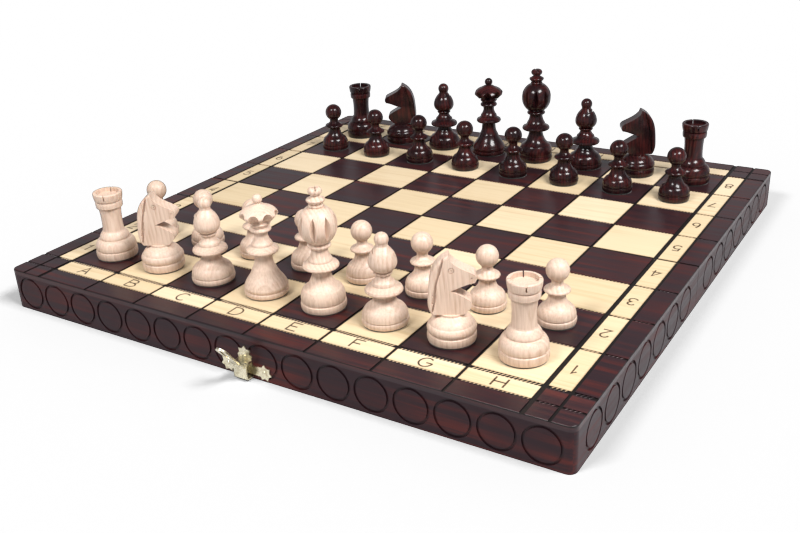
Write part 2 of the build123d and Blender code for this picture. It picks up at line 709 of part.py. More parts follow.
def main():
    os.makedirs("parts", exist_ok=True)
    for side, word in ((NEAR, "near"), (FAR, "far")):
        outer = "front" if side == NEAR else "back"
        save(top_panel(side), f"{word}_top_panel")
        save(end_rail(side) - nail_holes(side), f"{word}_{outer}_rail")
        save(side_rail(side, LEFT), f"{word}_left_rail")
        save(side_rail(side, RIGHT), f"{word}_right_rail")
        save(fold_rail(side), f"{word}_fold_rail")
        save(leaf_screws(side), f"{word}_hinge_screws")
        for x, hand in zip(hinge_places(), ("left", "right")):
            save(Pos(x, 0, 0) * hinge_leaf(side), f"{hand}_hinge_{word}_leaf")
    for x, hand in zip(hinge_places(), ("left", "right")):
        save(Pos(x, 0, 0) * hinge_pin(), f"{hand}_hinge_pin")
    save(hasp_plate(), "hasp_plate")
    save(hasp_loop(), "hasp_loop")
    save(hasp_pin(), "hasp_pin")
    save(plate_nails(FRONT), "hasp_nails")
    save(catch_plate(), "catch_plate")
    save(plate_nails(BACK), "catch_nails")
    place_chessmen()


main()
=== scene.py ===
import json
import math

import bmesh
import bpy
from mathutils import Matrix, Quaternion, Vector

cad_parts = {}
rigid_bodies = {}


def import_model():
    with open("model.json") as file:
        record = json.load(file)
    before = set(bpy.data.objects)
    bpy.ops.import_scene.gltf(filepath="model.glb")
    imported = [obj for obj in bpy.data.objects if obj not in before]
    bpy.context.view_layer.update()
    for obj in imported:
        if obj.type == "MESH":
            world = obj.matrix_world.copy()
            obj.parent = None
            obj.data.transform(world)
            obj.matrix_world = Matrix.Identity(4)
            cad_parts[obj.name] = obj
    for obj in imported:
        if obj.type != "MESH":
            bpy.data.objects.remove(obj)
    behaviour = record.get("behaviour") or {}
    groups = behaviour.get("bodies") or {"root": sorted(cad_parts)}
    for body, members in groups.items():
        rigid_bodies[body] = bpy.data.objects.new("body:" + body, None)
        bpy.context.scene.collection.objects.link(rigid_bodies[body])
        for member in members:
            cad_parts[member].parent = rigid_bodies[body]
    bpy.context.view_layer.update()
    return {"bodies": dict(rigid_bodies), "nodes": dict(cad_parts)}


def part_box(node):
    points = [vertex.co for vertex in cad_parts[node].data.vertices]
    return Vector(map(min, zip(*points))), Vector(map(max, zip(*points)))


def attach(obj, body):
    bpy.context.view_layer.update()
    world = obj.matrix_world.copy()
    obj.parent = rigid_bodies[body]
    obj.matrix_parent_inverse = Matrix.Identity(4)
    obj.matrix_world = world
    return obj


bl_info = {
    "name": "Folding chess set finishes",
    "version": (1, 0, 0),
    "blender": (4, 5, 0),
    "location": "3D View > Sidebar > Chess set",
    "description": "Woods, burned lines, letters, felts, brass and stage for a folding chess set",
    "category": "Object",
}

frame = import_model()

MM = 0.001

# ---- places read from the frame ----
HALVES = ("near", "far")
HALF_SIGN = {"near": -1, "far": 1}
PANEL_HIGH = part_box("near_top_panel")[1]
TOP = PANEL_HIGH.z
HALF_BOARD = PANEL_HIGH.x


def middle(node):
    """Middle of a node's box."""
    low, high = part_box(node)
    return (low + high) / 2


SQUARE = (middle("white_rook_h1").x - middle("white_rook_a1").x) / 7
FIELD = 4 * SQUARE
MEN = [body for body in frame["bodies"] if body.startswith(("white_", "black_"))]

# ---- sizes of the burned lines, as cut ----
GROOVE_DEPTH = 0.6 * MM
GROOVE_WIDTH = 1.6 * MM
BORDER_WIDTH = 2.6 * MM
LETTER_STRIP = 12.6 * MM
STRIP_EDGE = FIELD + LETTER_STRIP
RAIL_SKIN = 1.2 * MM      # how far the stain and the rings reach into a rail
PANEL_RIM = 4 * MM        # how far the stain reaches in under a panel's edge


# ------------------------------------------------------------------ node wiring

class Graph:
    """Shorthand for one material with a Principled shader."""

    def __init__(self, name, **settings):
        self.material = bpy.data.materials.new(name)
        self.material.use_nodes = True
        self.tree = self.material.node_tree
        self.tree.nodes.clear()
        self.shader = self.tree.nodes.new("ShaderNodeBsdfPrincipled")
        out = self.tree.nodes.new("ShaderNodeOutputMaterial")
        self.tree.links.new(self.shader.outputs["BSDF"], out.inputs["Surface"])
        for socket, value in settings.items():
            self.shader.inputs[socket.replace("_", " ")].default_value = value
        self.place = self.add("ShaderNodeTexCoord").outputs["Object"]
        self.x, self.y, self.z = self.split(self.place)

    def add(self, kind, inputs=None, **attributes):
        """A node with its attributes set and its inputs fed."""
        node = self.tree.nodes.new(kind)
        for name, value in attributes.items():
            setattr(node, name, value)
        for socket, value in (inputs or {}).items():
            self.feed(node.inputs[socket], value)
        return node

    def feed(self, socket, value):
        """Link a socket, or set it to a plain value."""
        if isinstance(value, bpy.types.NodeSocket):
            self.tree.links.new(value, socket)
        else:
            socket.default_value = value

    def math(self, operation, a, b=0.0, c=0.0, clamp=False):
        node = self.add("ShaderNodeMath", {0: a, 1: b, 2: c}, operation=operation, use_clamp=clamp)
        return node.outputs[0]

    def split(self, vector):
        return self.add("ShaderNodeSeparateXYZ", {0: vector}).outputs

    def vector(self, x, y, z):
        return self.add("ShaderNodeCombineXYZ", {0: x, 1: y, 2: z}).outputs[0]

    def stretched(self, vector, scale):
        """A vector times one scale for each axis."""
        node = self.add("ShaderNodeVectorMath", {0: vector, 1: scale}, operation="MULTIPLY")
        return node.outputs[0]

    def noise(self, vector, scale, detail=2.0, roughness=0.5, distortion=0.0):
        node = self.add("ShaderNodeTexNoise", {
            "Vector": vector, "Scale": scale, "Detail": detail,
            "Roughness": roughness, "Distortion": distortion})
        return node.outputs["Fac"]

    def ramp(self, value, low, high, out_low=0.0, out_high=1.0):
        """Smooth step of a value between two levels."""
        node = self.add("ShaderNodeMapRange", {
            "Value": value, "From Min": low, "From Max": high,
            "To Min": out_low, "To Max": out_high}, interpolation_type="SMOOTHSTEP")
        return node.outputs["Result"]

    def mix(self, factor, a, b):
        """Colour from a to b."""
        node = self.add("ShaderNodeMix", {0: factor, 6: a, 7: b}, data_type="RGBA")
        return node.outputs[2]

    def bump(self, height, distance, strength=1.0):
        """Relief of the given depth in metres, fed to the shader."""
        node = self.add("ShaderNodeBump", {
            "Height": height, "Distance": distance, "Strength": strength})
        self.feed(self.shader.inputs["Normal"], node.outputs["Normal"])


def solid(colour, alpha=1.0):
    """A colour property as four numbers."""
    return (*colour, alpha)


def finish_node(node, material):
    """Give a CAD node its material."""
    slots = frame["nodes"][node].data.materials
    slots.clear()
    slots.append(material)


def new_piece(name, mesh, material, body):
    """A mesh object that rides on a body and takes its finish from a slot."""
    piece = bpy.data.objects.new(name, mesh)
    bpy.context.scene.collection.objects.link(piece)
    mesh.materials.append(material)
    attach(piece, body)
    return piece


def colour_property(name, description, default):
    return bpy.props.FloatVectorProperty(
        name=name, description=description, default=default,
        subtype="COLOR", size=3, min=0.0, max=1.0)


def length_property(name, description, default):
    return bpy.props.FloatProperty(
        name=name, description=description, default=default,
        subtype="DISTANCE", unit="LENGTH", min=0.0, precision=5)


# ------------------------------------------------------------------ properties

class BoardFinish(bpy.types.PropertyGroup):
    """Colours of the board and sizes of its marks."""
    pale_wood: colour_property("Pale wood", "Unstained squares", (0.72, 0.57, 0.37))
    pale_grain: colour_property("Pale grain", "Darker streaks in the pale wood", (0.58, 0.42, 0.235))
    stain: colour_property("Stain", "Dark squares", (0.023, 0.011, 0.014))
    stain_red: colour_property("Red of the stain", "Where the stain lies thin", (0.085, 0.016, 0.013))
    burned: colour_property("Burned", "Floor of the burned lines", (0.006, 0.004, 0.004))
    scorched: colour_property("Scorched", "Wood beside a burned line", (0.30, 0.17, 0.08))
    letter_height: length_property("Letter height", "Height of letters and figures", 7.6 * MM)
    letter_width: length_property("Letter width", "Width of a broad letter", 6.6 * MM)
    stroke_width: length_property("Stroke width", "Width of a letter's line", 0.95 * MM)
    rope_pitch: length_property("Rope pitch", "From one slanting ridge to the next", 2.0 * MM)


class MenFinish(bpy.types.PropertyGroup):
    """Colours of the chessmen."""
    white_wood: colour_property("White men", "Natural wood", (0.66, 0.50, 0.395))
    white_rings: colour_property("White men's grain", "Darker growth rings", (0.42, 0.255, 0.17))
    black_wood: colour_property("Black men", "Dark stain", (0.007, 0.003, 0.004))
    black_red: colour_property("Black men's red", "Red where the stain is thin", (0.060, 0.010, 0.009))
    ring_spacing: length_property("Growth ring", "Width of one growth ring", 2.1 * MM)
    felt: colour_property("Felt", "Cloth under the men", (0.012, 0.014, 0.012))


class MetalFinish(bpy.types.PropertyGroup):
    """Colours of the metal parts."""
    brass: colour_property("Brass", "Bright stamped brass", (0.80, 0.74, 0.56))
    tarnish: colour_property("Tarnish", "Dull patches on the brass", (0.42, 0.34, 0.18))
    steel: colour_property("Steel", "Hinges, pins and screws", (0.52, 0.51, 0.49))


class StageFinish(bpy.types.PropertyGroup):
    """Floor and light."""
    floor: colour_property("Floor", "Plain pale floor", (0.55, 0.55, 0.56))
    sky: bpy.props.FloatProperty(
        name="Room light", description="Strength of the light from all round", default=0.60, min=0.0)
    key: bpy.props.FloatProperty(
        name="Key light", description="Power of the large soft light", default=15.0, min=0.0, unit="POWER")
    fill: bpy.props.FloatProperty(
        name="Fill light", description="Power of the second soft light", default=9.0, min=0.0, unit="POWER")


# ------------------------------------------------------------------ board woods

def stain_colour(g, look, along):
    """Stained wood with streaks along an axis: colour, and how thin the stain lies."""
    stretch = {"x": (9.0, 260.0, 260.0), "y": (260.0, 9.0, 260.0)}[along]
    streaks = g.noise(g.stretched(g.place, stretch), 1.0, 4.0, 0.62, 0.4)
    clouds = g.noise(g.place, 22.0, 2.0)
    thin = g.math("MULTIPLY", g.ramp(streaks, 0.40, 0.72), g.ramp(clouds, 0.30, 0.70, 0.25, 1.0))
    return g.mix(thin, solid(look.stain), solid(look.stain_red)), streaks


def pale_colour(g, look, along):
    """Unstained wood with fine streaks."""
    stretch = {"x": (12.0, 330.0, 330.0), "y": (330.0, 12.0, 330.0)}[along]
    streaks = g.noise(g.stretched(g.place, stretch), 1.0, 5.0, 0.6, 0.3)
    broad = g.noise(g.stretched(g.place, (10.0, 40.0, 40.0)), 1.0, 2.0)
    amount = g.math("MULTIPLY", g.ramp(streaks, 0.42, 0.75), g.ramp(broad, 0.3, 0.7, 0.25, 0.9))
    return g.mix(amount, solid(look.pale_wood), solid(look.pale_grain))


def line_distance(g, along):
    """Distance to the nearest burned line that crosses an axis."""
    to_square = g.math("PINGPONG", along, SQUARE / 2)
    to_strip = g.math("ABSOLUTE", g.math("SUBTRACT", g.math("ABSOLUTE", along), STRIP_EDGE))
    return g.math("MINIMUM", to_square, to_strip)


def zone(g, along):
    """0 in the playing field, 1 in the letter strip, 2 in the edge strip."""
    out = g.math("ABSOLUTE", along)
    in_strip = g.math("GREATER_THAN", out, FIELD)
    return g.math("ADD", in_strip, g.math("GREATER_THAN", out, STRIP_EDGE))


def board_top_material(look):
    """Stained and burned plywood panel, chequered by its own coordinates."""
    g = Graph("board_top", Specular_IOR_Level=0.22, Coat_IOR=1.5, Coat_Weight=0.22,
              Coat_Roughness=0.22)
    files = g.math("FLOOR", g.math("DIVIDE", g.x, SQUARE))
    ranks = g.math("FLOOR", g.math("DIVIDE", g.y, SQUARE))
    light = g.math("FLOORED_MODULO", g.math("ADD", files, ranks), 2.0)
    zones = g.math("ADD", zone(g, g.x), zone(g, g.y))
    in_field = g.math("LESS_THAN", zones, 0.5)
    in_strip = g.math("COMPARE", zones, 1.0, 0.25)
    pale_above = g.math("ADD", g.math("MULTIPLY", light, in_field), in_strip)
    shell = g.math("MAXIMUM", g.math("ABSOLUTE", g.x), g.math("ABSOLUTE", g.y))
    inside = g.math("LESS_THAN", shell, HALF_BOARD - PANEL_RIM)
    below = g.math("LESS_THAN", g.z, TOP - GROOVE_DEPTH - 0.1 * MM)
    pale = g.math("MAXIMUM", g.math("MULTIPLY", pale_above, g.math("SUBTRACT", 1.0, below)),
                  g.math("MULTIPLY", inside, below))
    dark_colour, streaks = stain_colour(g, look, "x")
    tone = g.add("ShaderNodeTexWhiteNoise", {"Vector": g.vector(files, ranks, 0.0)}).outputs["Value"]
    wood = g.mix(pale, dark_colour, pale_colour(g, look, "x"))
    toned = g.add("ShaderNodeHueSaturation", {
        "Color": wood, "Value": g.ramp(tone, 0.0, 1.0, 0.90, 1.05),
        "Saturation": g.ramp(tone, 0.0, 1.0, 1.05, 0.94)}).outputs["Color"]
    near_line = g.math("MINIMUM", line_distance(g, g.x), line_distance(g, g.y))
    ragged = g.math("ADD", near_line, g.math(
        "MULTIPLY", g.noise(g.place, 900.0, 2.0), 0.7 * MM))
    scorch = g.math("MULTIPLY", g.ramp(ragged, 0.9 * MM, 1.9 * MM, 0.55, 0.0),
                    g.math("SUBTRACT", 1.0, below))
    browned = g.mix(g.math("MULTIPLY", scorch, pale), toned, solid(look.scorched))
    burn = g.math("MULTIPLY", g.ramp(g.z, TOP - 0.32 * MM, TOP - 0.12 * MM, 1.0, 0.0),
                  g.math("SUBTRACT", 1.0, below))
    g.feed(g.shader.inputs["Base Color"], g.mix(burn, browned, solid(look.burned)))
    rough = g.math("ADD", g.math("MULTIPLY", pale, 0.10), g.ramp(streaks, 0.3, 0.7, 0.30, 0.42))
    g.feed(g.shader.inputs["Roughness"], g.math("ADD", rough, g.math("MULTIPLY", burn, 0.3)))
    pores = g.noise(g.stretched(g.place, (90.0, 2200.0, 2200.0)), 1.0, 3.0, 0.6)
    g.bump(g.math("ADD", g.math("MULTIPLY", streaks, 0.6), pores), 0.05 * MM, 0.5)
    return g.material


def rail_material(look, along):
    """Varnished stained rail, bare wood on the inside of the box."""
    g = Graph(f"rail_stain_{along}", Specular_IOR_Level=0.10, Coat_Weight=0.16,
              Coat_Roughness=0.12, Coat_IOR=1.4)
    dark_colour, streaks = stain_colour(g, look, along)
    shell = g.math("MAXIMUM", g.math("ABSOLUTE", g.x), g.math("ABSOLUTE", g.y))
    inner = g.math("MULTIPLY", g.math("LESS_THAN", shell, HALF_BOARD - RAIL_SKIN),
                   g.math("GREATER_THAN", g.z, 0.4 * MM))
    wood = g.mix(inner, dark_colour, pale_colour(g, look, along))
    g.feed(g.shader.inputs["Base Color"], wood)
    g.feed(g.shader.inputs["Roughness"], g.ramp(streaks, 0.3, 0.7, 0.34, 0.48))
    coordinate = {"x": (70.0, 1500.0, 1500.0), "y": (1500.0, 70.0, 1500.0)}[along]
    pores = g.noise(g.stretched(g.place, coordinate), 1.0, 3.0, 0.6)
    waves = g.noise(g.place, 160.0, 1.0)
    g.bump(g.math("ADD", g.math("MULTIPLY", waves, 2.0), pores), 0.05 * MM, 0.35)
    return g.material


# ------------------------------------------------------------------ lines and letters

ROPE_LEAN = 0.75          # slant of a ridge, in pitches over its length
MARK_LIFT = 0.02 * MM     # letters above the panel, ridges as near below it
RIDGE_LENGTH = ((-0.5, 0.70), (-0.3, 1.0), (0.3, 1.0), (0.5, 0.70))
RIDGE_SECTION = ((-0.21, 0.0), (-0.14, 0.70), (-0.05, 1.0), (0.05, 1.0), (0.14, 0.70), (0.21, 0.0))


def rank_lines(sign):
    """Y and width of the burned lines along X on one half, the fold left out."""
    lines = [(sign * STRIP_EDGE, GROOVE_WIDTH), (sign * FIELD, BORDER_WIDTH)]
    return lines + [(sign * i * SQUARE, GROOVE_WIDTH) for i in range(1, 4)]


def crosses_file_line(x, reach):
    """True where a line that runs along Y would cut through."""
    to_square = abs((x + FIELD + SQUARE / 2) % SQUARE - SQUARE / 2)
    if abs(x) > FIELD + SQUARE / 4:
        to_square = SQUARE
    to_strip = abs(abs(x) - STRIP_EDGE)
    return min(to_square, to_strip) < GROOVE_WIDTH / 2 + reach


def add_ridge(bm, x, y, width, pitch, lean):
    """One slanting ridge of wood left standing across a burned line."""
    floor = TOP - GROOVE_DEPTH
    crest = TOP - MARK_LIFT / 2
    rows = []
    for across, height in RIDGE_LENGTH:
        row = []
        for along, rise in RIDGE_SECTION:
            px = x + along * pitch + lean * across * pitch
            py = y + across * width
            row.append(bm.verts.new((px, py, floor + (crest - floor) * rise * height)))
        rows.append(row)
    for low, high in zip(rows, rows[1:]):
        for i in range(len(RIDGE_SECTION) - 1):
            bm.faces.new((low[i], low[i + 1], high[i + 1], high[i]))
    bm.faces.new(rows[0][::-1])
    bm.faces.new(rows[-1])


def rope_mesh(half, look):
    """All the ridges in the lines of one half."""
    bm = bmesh.new()
    pitch = look.rope_pitch
    count = int(2 * HALF_BOARD / pitch) - 1
    for y, width in rank_lines(HALF_SIGN[half]):
        for i in range(count):
            x = (i - (count - 1) / 2) * pitch
            if not crosses_file_line(x, 0.6 * pitch):
                add_ridge(bm, x, y, width, pitch, ROPE_LEAN)
    mesh = bpy.data.meshes.new(f"{half}_rope_lines")
    bm.normal_update()
    bm.to_mesh(mesh)
    bm.free()
    for face in mesh.polygons:
        face.use_smooth = True
    return mesh


def arc(cx, cy, rx, ry, start, end, steps=18):
    """Points along an ellipse, angles in degrees."""
    points = []
    for i in range(steps + 1):
        angle = math.radians(start + (end - start) * i / steps)
        points.append((cx + rx * math.cos(angle), cy + ry * math.sin(angle)))
    return points


GLYPHS = {
    "A": [[(0, 0), (0.5, 1), (1, 0)], [(0.18, 0.36), (0.82, 0.36)]],
    "B": [[(0.02, 0), (0.02, 1), (0.5, 1)] + arc(0.5, 0.77, 0.34, 0.23, 90, -90, 10) + [(0.02, 0.54)],
          [(0.5, 0.54)] + arc(0.55, 0.27, 0.42, 0.27, 90, -90, 10) + [(0.02, 0)]],
    "C": [arc(0.52, 0.5, 0.52, 0.5, 48, 312, 26)],
    "D": [[(0.02, 0), (0.02, 1), (0.4, 1)] + arc(0.44, 0.5, 0.54, 0.5, 90, -90, 18) + [(0.02, 0)]],
    "E": [[(0.86, 1), (0.02, 1), (0.02, 0), (0.88, 0)], [(0.02, 0.53), (0.7, 0.53)]],
    "F": [[(0.86, 1), (0.05, 1), (0.05, 0)], [(0.05, 0.53), (0.7, 0.53)]],
    "G": [arc(0.52, 0.5, 0.52, 0.5, 48, 352, 28) + [(1.02, 0.47), (0.56, 0.47)]],
    "H": [[(0.04, 0), (0.04, 1)], [(0.96, 0), (0.96, 1)], [(0.04, 0.52), (0.96, 0.52)]],
    "1": [[(0.24, 0.74), (0.56, 1), (0.56, 0)]],
    "2": [arc(0.48, 0.71, 0.38, 0.29, 170, -28, 14) + [(0.1, 0), (0.9, 0)]],
    "3": [arc(0.46, 0.76, 0.34, 0.24, 160, -78, 14) + arc(0.46, 0.27, 0.4, 0.27, 78, -160, 16)],
    "4": [[(0.7, 0), (0.7, 1), (0.06, 0.3), (0.92, 0.3)]],
    "5": [[(0.82, 1), (0.24, 1), (0.16, 0.56)] + arc(0.46, 0.33, 0.42, 0.33, 128, -150, 16)],
    "6": [arc(0.78, 0.32, 0.66, 0.86, 128, 182, 10) + arc(0.5, 0.31, 0.38, 0.31, 180, 540, 26)],
    "7": [[(0.08, 1), (0.92, 1), (0.36, 0)]],
    "8": [arc(0.5, 0.76, 0.32, 0.24, 270, -90, 22), arc(0.5, 0.27, 0.4, 0.27, 90, 450, 24)],
}
NARROW = 0.82             # figures against letters


def add_stroke(bm, points, width, height):
    """A flat ribbon along a run of points, mitred at its corners."""
    flat = [Vector(p) for p in points]
    flat = [p for i, p in enumerate(flat) if i == 0 or (p - flat[i - 1]).length > 1e-6]
    closed = (flat[0] - flat[-1]).length < 1e-6
    if closed:
        flat = flat[:-1]
    pairs = []
    for i, here in enumerate(flat):
        before = flat[i - 1] if i or closed else here
        after = flat[(i + 1) % len(flat)] if i + 1 < len(flat) or closed else here
        into = (here - before).normalized() if before != here else (after - here).normalized()
        away = (after - here).normalized() if after != here else into
        normal = Vector((-into.y - away.y, into.x + away.x))
        normal.normalize()
        spread = max(0.5, normal.dot(Vector((-into.y, into.x))))
        offset = normal * (width / 2 / spread)
        pairs.append([bm.verts.new((*(here + side * offset), height)) for side in (1, -1)])
    steps = len(pairs) if closed else len(pairs) - 1
    for i in range(steps):
        a, b = pairs[i], pairs[(i + 1) % len(pairs)]
        bm.faces.new((a[0], a[1], b[1], b[0]))


def add_glyph(bm, letter, centre, turn, look):
    """One letter or figure, upright for turn 1 and half turned for turn -1."""
    wide = look.letter_width * (NARROW if letter.isdigit() else 1.0)
    for stroke in GLYPHS[letter]:
        points = [(centre[0] + turn * (x - 0.5) * wide,
                   centre[1] + turn * (y - 0.5) * look.letter_height) for x, y in stroke]
        add_stroke(bm, points, look.stroke_width, TOP + MARK_LIFT)


def letter_mesh(half, look):
    """The letters along one end and the figures down both sides of one half."""
    bm = bmesh.new()
    sign = HALF_SIGN[half]
    strip = FIELD + LETTER_STRIP / 2
    for i, letter in enumerate("ABCDEFGH"):
        add_glyph(bm, letter, ((i - 3.5) * SQUARE, sign * strip), -sign, look)
    for rank in range(1, 9):
        y = (rank - 4.5) * SQUARE
        if y * sign > 0:
            add_glyph(bm, str(rank), (-strip, y), 1, look)
            add_glyph(bm, str(rank), (strip, y), -1, look)
    mesh = bpy.data.meshes.new(f"{half}_letters")
    bm.normal_update()
    bm.to_mesh(mesh)
    bm.free()
    return mesh


CHARRED = (0.030, 0.018, 0.010)
SINGED = (0.16, 0.095, 0.05)


def mark_material():
    """Scorched strokes, uneven as a hot tool leaves them."""
    g = Graph("burned_marks", Specular_IOR_Level=0.3)
    uneven = g.noise(g.place, 1400.0, 2.0)
    g.feed(g.shader.inputs["Base Color"], g.mix(
        g.ramp(uneven, 0.35, 0.75), solid(CHARRED), solid(SINGED)))
    g.feed(g.shader.inputs["Roughness"], g.ramp(uneven, 0.3, 0.7, 0.5, 0.7))
    return g.material


# ------------------------------------------------------------------ chessmen

def man_place(g):
    """Coordinates about each man's own axis, with three random numbers for that man."""
    centres = []
    for along in (g.x, g.y):
        cell = g.math("FLOOR", g.math("DIVIDE", along, SQUARE))
        centres.append((cell, g.math("SUBTRACT", along, g.math("MULTIPLY", g.math(
            "ADD", cell, 0.5), SQUARE))))
    seed = g.vector(centres[0][0], centres[1][0], 3.0)
    chance = g.add("ShaderNodeTexWhiteNoise", {"Vector": seed}).outputs["Color"]
    return centres[0][1], centres[1][1], g.split(chance)


def growth_rings(g, spacing):
    """Rings about a pith that lies off each man's axis, 0 to 1, and fine fibres."""
    x, y, chance = man_place(g)
    lean = g.math("SUBTRACT", chance[2], 0.5)
    off_x = g.math("ADD", x, g.math("MULTIPLY", g.math("SUBTRACT", chance[0], 1.3), 0.035))
    off_y = g.math("ADD", y, g.math("MULTIPLY", g.math("SUBTRACT", chance[1], 0.5), 0.05))
    off_x = g.math("ADD", off_x, g.math("MULTIPLY", g.math("MULTIPLY", lean, g.z), 0.35))
    squares = g.math("ADD", g.math("MULTIPLY", off_x, off_x), g.math("MULTIPLY", off_y, off_y))
    wander = g.noise(g.stretched(g.place, (1.0, 1.0, 0.25)), 55.0, 2.0)
    radius = g.math("ADD", g.math("SQRT", squares), g.math("MULTIPLY", wander, 3.0 * MM))
    phase = g.math("FRACT", g.math("DIVIDE", radius, spacing))
    rings = g.math("MULTIPLY", g.ramp(phase, 0.15, 0.85), g.ramp(phase, 0.86, 1.0, 1.0, 0.0))
    fibres = g.noise(g.stretched(g.place, (1.0, 1.0, 0.06)), 1300.0, 3.0, 0.6)
    return rings, fibres, chance


def white_men_material(look):
    """Natural close-grained wood, lightly polished."""
    g = Graph("white_men", Specular_IOR_Level=0.45, Coat_Weight=0.12, Coat_Roughness=0.25,
              Subsurface_Weight=0.04, Subsurface_Scale=0.002)
    rings, fibres, chance = growth_rings(g, look.ring_spacing)
    clouds = g.noise(g.place, 70.0)
    figure = g.math("MULTIPLY", rings, g.ramp(clouds, 0.35, 0.65, 0.06, 0.36))
    amount = g.math("ADD", figure, g.ramp(fibres, 0.40, 0.72, 0.0, 0.36))
    wood = g.mix(amount, solid(look.white_wood), solid(look.white_rings))
    toned = g.add("ShaderNodeHueSaturation", {
        "Color": wood, "Value": g.math("ADD", g.math("MULTIPLY", chance[0], 0.10), 0.95)})
    g.feed(g.shader.inputs["Base Color"], toned.outputs["Color"])
    g.feed(g.shader.inputs["Roughness"], g.ramp(fibres, 0.3, 0.7, 0.42, 0.55))
    g.bump(g.math("ADD", g.math("MULTIPLY", rings, 0.4), fibres), 0.03 * MM, 0.5)
    return g.material


def black_men_material(look):
    """The same wood under dark stain and a bright lacquer."""
    g = Graph("black_men", Specular_IOR_Level=0.12, Coat_Weight=0.42, Coat_Roughness=0.10,
              Coat_IOR=1.45)
    rings, fibres, chance = growth_rings(g, look.ring_spacing)
    clouds = g.noise(g.place, 120.0, 2.0)
    amount = g.math("MULTIPLY", g.ramp(clouds, 0.35, 0.7, 0.15, 1.0), g.math(
        "ADD", g.math("MULTIPLY", rings, 0.5), g.ramp(fibres, 0.3, 0.8, 0.2, 0.6)))
    wood = g.mix(amount, solid(look.black_wood), solid(look.black_red))
    toned = g.add("ShaderNodeHueSaturation", {
        "Color": wood, "Value": g.math("ADD", g.math("MULTIPLY", chance[0], 0.4), 0.8)})
    g.feed(g.shader.inputs["Base Color"], toned.outputs["Color"])
    g.feed(g.shader.inputs["Roughness"], g.ramp(fibres, 0.3, 0.7, 0.22, 0.34))
    orange_peel = g.noise(g.place, 420.0, 1.0)
    g.bump(g.math("ADD", g.math("MULTIPLY", orange_peel, 1.5), fibres), 0.02 * MM, 0.3)
    return g.material


def felt_material(look):
    """Dense dark cloth."""
    g = Graph("felt", Roughness=0.95, Sheen_Weight=0.5, Sheen_Roughness=0.5,
              Specular_IOR_Level=0.1)
    fuzz = g.noise(g.place, 4200.0, 3.0, 0.7)
    g.feed(g.shader.inputs["Base Color"], g.mix(
        fuzz, solid(look.felt), solid([min(1.0, 2.6 * c) for c in look.felt])))
    g.bump(fuzz, 0.12 * MM, 0.8)
    return g.material


def lathe(name, profile, centre, segments=72):
    """Closed turned mesh from (radius, height) pairs that start and end on the axis."""
    bm = bmesh.new()
    rings = []
    for radius, height in profile[1:-1]:
        ring = []
        for i in range(segments):
            angle = 2 * math.pi * i / segments
            ring.append(bm.verts.new((centre.x + radius * math.cos(angle),
                                      centre.y + radius * math.sin(angle), height)))
        rings.append(ring)
    for low, high in zip(rings, rings[1:]):
        for i in range(segments):
            j = (i + 1) % segments
            bm.faces.new((low[i], low[j], high[j], high[i]))
    bm.faces.new(rings[0][::-1])
    bm.faces.new(rings[-1])
    mesh = bpy.data.meshes.new(name)
    bm.normal_update()
    bm.to_mesh(mesh)
    bm.free()
    return mesh


FELT_THICKNESS = 0.78 * MM
FELT_SHOW = 0.040         # share of the foot's radius that the felt stays inside it
FELT_SOFTNESS = 0.25 * MM
FELT_DROP = 0.02 * MM     # felt below the wood of the foot


def felt_mesh(body):
    """Felt disc with a soft edge, wrapped over the step under one foot."""
    foot = body + "_base" if "_knight_" in body else body
    low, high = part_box(foot)
    centre = (low + high) / 2
    radius = (high.x - low.x) / 2 * (1 - FELT_SHOW)
    soft = FELT_SOFTNESS
    bottom = low.z - FELT_DROP
    top = low.z + FELT_THICKNESS
    profile = [(0, bottom), (radius - 2 * soft, bottom), (radius - soft, bottom + 0.03 * MM),
               (radius - 0.3 * soft, bottom + soft * 0.6), (radius, bottom + 1.4 * soft),
               (radius, top - soft), (radius - 0.4 * soft, top - 0.2 * soft),
               (radius - 1.5 * soft, top), (radius - 5 * soft, top), (0, top)]
    return lathe(f"{body}_felt", profile, centre)


# ------------------------------------------------------------------ metals

def metal_material(name, bright, dull, rough):
    """Metal with dull patches and fine scratches."""
    g = Graph(name, Metallic=1.0)
    patches = g.noise(g.place, 420.0, 4.0, 0.6)
    scratches = g.noise(g.stretched(g.place, (300.0, 5200.0, 5200.0)), 1.0, 2.0)
    g.feed(g.shader.inputs["Base Color"], g.mix(
        g.ramp(patches, 0.45, 0.80, 0.0, 0.8), solid(bright), solid(dull)))
    g.feed(g.shader.inputs["Roughness"], g.math(
        "ADD", g.ramp(patches, 0.35, 0.75, rough, rough + 0.2), g.math(
            "MULTIPLY", scratches, 0.08)))
    g.bump(g.math("ADD", g.math("MULTIPLY", patches, 1.6), scratches), 0.03 * MM, 0.5)
    return g.material


BRASS_NODES = ("hasp_plate", "hasp_loop", "hasp_nails", "catch_plate", "catch_nails")
STEEL_NODES = (
    "hasp_pin", "near_hinge_screws", "far_hinge_screws", "left_hinge_pin", "right_hinge_pin",
    "left_hinge_near_leaf", "left_hinge_far_leaf", "right_hinge_near_leaf", "right_hinge_far_leaf")
RAILS = {
    "near_front_rail": "x", "far_back_rail": "x", "near_fold_rail": "x", "far_fold_rail": "x",
    "near_left_rail": "y", "near_right_rail": "y", "far_left_rail": "y", "far_right_rail": "y"}


# ------------------------------------------------------------------ operators

class CHESS_OT_board_top(bpy.types.Operator):
    """Finish the two panels that carry the squares"""
    bl_idname = "chess.board_top"
    bl_label = "Board top"

    def execute(self, context):
        material = board_top_material(context.scene.chess_board)
        for half in HALVES:
            finish_node(f"{half}_top_panel", material)
        return {"FINISHED"}


